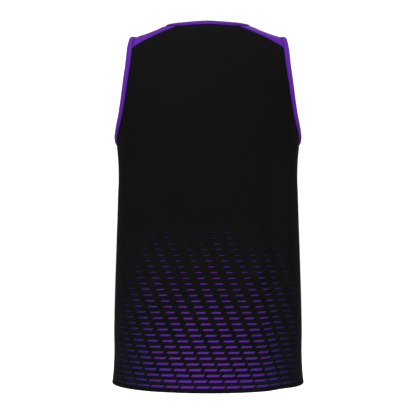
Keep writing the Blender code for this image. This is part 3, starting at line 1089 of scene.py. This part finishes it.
def dashPrintGroup():
    # Rows of short slanted dashes laid like bricks, long and thick by the hem and smaller and
    # fainter further up, where slow waves in the band's height break its top edge
    group, given, result = newGroup(
        "dashPrint",
        [
            ("Cut", "Vector", None),
            ("Middle", "Float", clothPlan["cutMiddle"]),
            ("Foot", "Float", clothPlan["cutFoot"]),
            ("Plain Hem", "Float", printPlan["plainHem"]),
            ("Band Height", "Float", printPlan["bandHeight"]),
            ("Wave Height", "Float", printPlan["waveHeight"]),
            ("Wave Length", "Float", printPlan["waveLength"]),
            ("Row Pitch", "Float", printPlan["rowPitch"]),
            ("Dash Pitch", "Float", printPlan["dashPitch"]),
            ("Slant", "Float", printPlan["slant"]),
            ("Half Width", "Float", printPlan["halfWidth"]),
        ],
        [("Ink", "Float"), ("Sideways", "Float")],
    )
    parts = group.nodes.new("ShaderNodeSeparateXYZ")
    group.links.new(given["Cut"], parts.inputs[0])
    across = calc(group, "SUBTRACT", parts.outputs["X"], given["Middle"])
    above = calc(group, "ADD", given["Foot"], given["Plain Hem"])
    up = calc(group, "SUBTRACT", parts.outputs["Y"], above)
    row = calc(group, "DIVIDE", up, given["Row Pitch"])
    inRow = calc(group, "ABSOLUTE", calc(group, "SUBTRACT", calc(group, "FRACT", row), 0.5))
    rowNumber = calc(group, "FLOOR", row)

    leaning = calc(group, "MULTIPLY_ADD", up, given["Slant"], across)
    shift = calc(group, "MULTIPLY", rowNumber, 0.5)
    column = calc(group, "ADD", calc(group, "DIVIDE", leaning, given["Dash Pitch"]), shift)
    fromColumn = calc(group, "SUBTRACT", calc(group, "FRACT", column), 0.5)
    inColumn = calc(group, "ABSOLUTE", fromColumn)

    # a whole dash takes its size from its own middle
    dashAcross = calc(group, "MULTIPLY", fromColumn, given["Dash Pitch"])
    dashAcross = calc(group, "SUBTRACT", across, dashAcross)
    turns = calc(group, "DIVIDE", dashAcross, given["Wave Length"])
    turns = calc(group, "MULTIPLY_ADD", rowNumber, printPlan["waveLean"], turns)
    wave = calc(group, "SINE", calc(group, "MULTIPLY", turns, 2 * math.pi))
    reach = calc(group, "MULTIPLY_ADD", wave, given["Wave Height"], 1.0)
    climb = calc(group, "MULTIPLY", rowNumber, given["Row Pitch"])
    climb = calc(group, "DIVIDE", climb, calc(group, "MULTIPLY", given["Band Height"], reach))
    masks = []
    for sizes, beside, fade in (
        (printPlan["dashLength"], inColumn, printPlan["endFade"]),
        (printPlan["dashThickness"], inRow, printPlan["edgeFade"]),
    ):
        size = remap(group, climb, 0.0, 1.0, *sizes, smooth=False)
        masks.append(remap(group, calc(group, "SUBTRACT", size, beside), 0.0, fade))
    masks.append(remap(group, climb, *printPlan["bandFade"]))
    masks.append(remap(group, up, 0.0, printPlan["hemFade"]))
    ink = masks[0]
    for mask in masks[1:]:
        ink = calc(group, "MULTIPLY", ink, mask)
    sideways = calc(group, "DIVIDE", calc(group, "ABSOLUTE", across), given["Half Width"])
    group.links.new(ink, result["Ink"])
    group.links.new(sideways, result["Sideways"])
    return group


groups = {"knitLoops": knitLoopsGroup(), "dyeAndPaintedShade": dyeAndPaintedShadeGroup(), "dashPrint": dashPrintGroup()}


def addGroup(tree, name, **values):
    # Places a group and feeds its inputs; an underscore in a keyword stands for a space
    node = tree.nodes.new("ShaderNodeGroup")
    node.node_tree = groups[name]
    node.label = name
    for label, value in values.items():
        feed(tree, node.inputs[label.replace("_", " ")], value)
    return node.outputs


finishes = {
    "blackKnit": {
        "color": (0.0055, 0.0055, 0.0057, 1),
        "unevenness": 0.12,
        "roughness": (0.72, 0.86),
        "specular": 0.03,
        "sheen": 0.0,
        "wale": 0.00095,
        "course": 0.00080,
        "relief": 0.00012,
    },
    "purpleKnit": {
        "color": (0.118, 0.017, 0.365, 1),
        "unevenness": 0.10,
        "roughness": (0.62, 0.80),
        "specular": 0.08,
        "sheen": 0.03,
        "wale": 0.00100,
        "course": 0.00085,
        "relief": 0.00012,
    },
}


def makeKnit(name, finish, printed=False, paintedSeamShade=0.3):
    material, tree, shader = newMaterial(name)
    cut = tree.nodes.new("ShaderNodeUVMap")
    cut.uv_map = "cut"
    cut = cut.outputs["UV"]
    place = tree.nodes.new("ShaderNodeTexCoord").outputs["Object"]
    reach = tree.nodes.new("ShaderNodeAttribute")
    reach.attribute_name = "seamReach"

    pitches = {"Wale_Pitch": finish["wale"], "Course_Pitch": finish["course"]}
    loops = addGroup(tree, "knitLoops", Cut=cut, **pitches)
    colour = finish["color"]
    if printed:
        ink = addGroup(tree, "dashPrint", Cut=cut)
        tint = remap(tree, ink["Sideways"], *printPlan["inkTurn"])
        inkColour = blendColours(tree, tint, printPlan["middleInk"], printPlan["sideInk"])
        fade = remap(tree, ink["Sideways"], *printPlan["sideFade"], 1.0, 0.0)
        colour = blendColours(tree, calc(tree, "MULTIPLY", ink["Ink"], fade), colour, inkColour)
    # the dye's unevenness, and painted shade darkening the cloth beside the seams
    dyedWithPaintedShade = addGroup(
        tree,
        "dyeAndPaintedShade",
        Color=colour,
        Place=place,
        Reach=reach.outputs["Fac"],
        Unevenness=finish["unevenness"],
        Seam_Shade=paintedSeamShade,
    )
    # painted shade: the base colour darkens in the gaps between the loops, where shadow falls in
    # the knit
    paintedGapShade = remap(tree, loops["Gap"], 0.0, 1.0, 0.0, knitPlan["gapPaintedShade"])
    feed(tree, shader.inputs["Base Color"], blendColours(tree, paintedGapShade, dyedWithPaintedShade["Color"], (0, 0, 0, 1)))
    roughness = remap(tree, loops["Gap"], 0.0, 1.0, *finish["roughness"])
    feed(tree, shader.inputs["Roughness"], roughness)
    shader.inputs["Specular IOR Level"].default_value = finish["specular"]
    shader.inputs["Sheen Weight"].default_value = finish["sheen"]
    shader.inputs["Sheen Roughness"].default_value = knitPlan["sheenRoughness"]

    scale, detail, strength, rise = knitPlan["waver"]
    waver = addBump(tree, noiseOver(tree, place, scale, detail), strength, rise)
    loopStrength = knitPlan["loopStrength"]
    weave = addBump(tree, loops["Height"], loopStrength, finish["relief"], under=waver)
    feed(tree, shader.inputs["Normal"], weave)
    return material


threadPlan = {
    "black": (0.012, 0.012, 0.013, 1),
    "purple": (0.150, 0.028, 0.390, 1),
    "fibres": (1800.0, 2.0, 0.3, 0.7),  # the noise's scale and detail, and the range that is used
    "darkest": 0.55,
    "roughness": (0.60, 0.42),
    "specular": 0.3,
    "relief": 0.00005,
}


def makeThread(tint):
    # Sewing thread, whose fibres show as fine unevenness
    material, tree, shader = newMaterial(tint + " thread")
    place = tree.nodes.new("ShaderNodeTexCoord").outputs["Object"]
    scale, detail, low, high = threadPlan["fibres"]
    fibres = noiseOver(tree, place, scale, detail)
    colour = threadPlan[tint]
    darker = tuple(threadPlan["darkest"] * part for part in colour[:3]) + (1,)
    tone = blendColours(tree, remap(tree, fibres, low, high), darker, colour)
    feed(tree, shader.inputs["Base Color"], tone)
    roughness = remap(tree, fibres, low, high, *threadPlan["roughness"])
    feed(tree, shader.inputs["Roughness"], roughness)
    shader.inputs["Specular IOR Level"].default_value = threadPlan["specular"]
    feed(tree, shader.inputs["Normal"], addBump(tree, fibres, 1.0, threadPlan["relief"]))
    return material


printedKnit = makeKnit("printed knit", finishes["blackKnit"], printed=True)
plainKnit = makeKnit("black knit inside", finishes["blackKnit"], paintedSeamShade=0.0)
purpleKnit = makeKnit("purple knit", finishes["purpleKnit"])
purpleInside = makeKnit("purple knit inside", finishes["purpleKnit"], paintedSeamShade=0.0)
blackThread = makeThread("black")
purpleThread = makeThread("purple")
print("stage 3: knit and thread finishes made")

for side in ("back", "front"):
    makePanel(side, [printedKnit, plainKnit])
    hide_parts(side)
print("stage 4: panels made")

stripRows = []
for side in ("left", "right"):
    strip, grid = makeShoulderStrip(side, [purpleKnit, purpleInside])
    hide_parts("shoulder_" + side)
    for step in (1, -1):
        stripRows.append(stripLine(grid, slice(None, None, step)))

bindingRows = []
for name, kind, turn, node in (
    ("neck_edge_binding", "neck", 1, "neck_binding"),
    ("armhole_edge_binding_left", "armhole", 1, "armhole_binding_left"),
    ("armhole_edge_binding_right", "armhole", -1, "armhole_binding_right"),
):
    binding, row = makeBinding(name, kind, turn, [purpleKnit, purpleInside])
    bindingRows.append(row)
    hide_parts(node)
print("stage 5: shoulder strips and bindings made")

hemRows = [hemLine(facing, above) for facing in (1, -1) for above in sewingPlan["hemRows"]]
for name, rows, material, slotName in (
    ("hem_stitches", hemRows, blackThread, "black_knit"),
    ("shoulder_stitches", stripRows, purpleThread, "purple_knit"),
    ("binding_stitches", bindingRows, purpleThread, "purple_knit"),
):
    piece = sewRows(name, rows, material)
print("stage 6: sewing done")


# A round pale studio with no corners, soft lights and the photograph's view
studio = {
    "floorHeight": -1.12,
    "floorRadius": 4.5,
    "floorRings": (0.02, 1.5, 3.0),
    "sweep": 1.6,  # radius of the curve from the floor into the wall
    "sweepPoints": 13,
    "spinSteps": 96,
    "wallHeight": 3.4,
    "weld": 0.0005,
    "pale": (0.85, 0.85, 0.85, 1),
    "roughness": 0.9,
    "specular": 0.1,
    "white": (1, 1, 1, 1),
    "glowSeen": 0.72,  # how bright the studio itself looks
    "glowCast": 0.10,  # how much of that it casts on the cloth
    # across, depth, height, size, watts
    "lights": (
        (1.15, 1.35, 2.40, 1.5, 36.0),
        (-0.90, 1.30, 2.60, 1.5, 14.0),
        (0.00, 3.00, 1.00, 1.8, 33.0),
        (0.00, 0.00, 2.60, 1.8, 16.0),
        (-0.50, -2.80, 1.30, 1.8, 48.0),
    ),
    "aim": (0.0, 0.0, -0.33),
}
view = {
    "place": (0.0, 1.715, -0.366),
    "lens": 71.0,
    "sensor": 36.0,
}


def studioGlow(tree):
    # The studio looks bright but casts less light, so that the cloth keeps its shading
    seen = tree.nodes.new("ShaderNodeLightPath").outputs["Is Camera Ray"]
    return remap(tree, seen, 0.0, 1.0, studio["glowCast"], studio["glowSeen"], smooth=False)


def makeStudio():
    sweep = studio["sweep"]
    floor = studio["floorHeight"]
    radius = studio["floorRadius"]
    profile = [(reach, floor) for reach in studio["floorRings"]]
    for angle in np.linspace(0, np.pi / 2, studio["sweepPoints"]):
        profile.append((radius + sweep * math.sin(angle), floor + sweep * (1 - math.cos(angle))))
    profile.append((radius + sweep, studio["wallHeight"]))
    mesh = bmesh.new()
    points = [mesh.verts.new((reach, 0, height)) for reach, height in profile]
    edges = [mesh.edges.new(pair) for pair in zip(points, points[1:])]
    bmesh.ops.spin(
        mesh,
        geom=points + edges,
        axis=(0, 0, 1),
        cent=(0, 0, 0),
        angle=2 * math.pi,
        steps=studio["spinSteps"],
    )
    bmesh.ops.remove_doubles(mesh, verts=mesh.verts, dist=studio["weld"])
    rims = [edge for edge in mesh.edges if edge.is_boundary]
    middle = [edge for edge in rims if edge.verts[0].co.z < floor + sweep]
    bmesh.ops.contextual_create(mesh, geom=middle)
    bmesh.ops.recalc_face_normals(mesh, faces=mesh.faces)
    data = bpy.data.meshes.new("studio_floor")
    mesh.to_mesh(data)
    mesh.free()
    data.shade_smooth()
    material, tree, shader = newMaterial("pale studio")
    shader.inputs["Base Color"].default_value = studio["pale"]
    shader.inputs["Roughness"].default_value = studio["roughness"]
    shader.inputs["Specular IOR Level"].default_value = studio["specular"]
    shader.inputs["Emission Color"].default_value = studio["white"]
    feed(tree, shader.inputs["Emission Strength"], studioGlow(tree))
    data.materials.append(material)
    bowl = placed("studio_floor", data)


def aimAt(thing, place, target):
    # Puts a lamp or the camera in its place, looking at the target
    direction = np.array(target) - np.array(place)
    thing.location = place
    thing.rotation_euler = (
        math.atan2(math.hypot(direction[0], direction[1]), -direction[2]),
        0,
        math.atan2(-direction[0], direction[1]),
    )


def makeLights():
    for number, (across, depth, height, size, watts) in enumerate(studio["lights"]):
        lamp = bpy.data.lights.new("soft light %d" % (number + 1), "AREA")
        lamp.shape = "DISK"
        lamp.size = size
        lamp.energy = watts
        aimAt(placed(lamp.name, lamp), (across, depth, height), studio["aim"])
    world = bpy.data.worlds.new("soft studio air")
    world.use_nodes = True
    air = world.node_tree.nodes["Background"]
    air.inputs["Color"].default_value = studio["white"]
    feed(world.node_tree, air.inputs["Strength"], studioGlow(world.node_tree))
    bpy.context.scene.world = world
    bpy.context.scene.view_settings.view_transform = "Standard"


def makeCamera():
    lens = bpy.data.cameras.new("camera")
    lens.lens = view["lens"]
    lens.sensor_width = view["sensor"]
    camera = placed("camera", lens)
    place = view["place"]
    aimAt(camera, place, (place[0], place[1] - 1, place[2]))
    bpy.context.scene.camera = camera


makeStudio()
makeLights()
makeCamera()
print("stage 7: studio, lights and camera set")
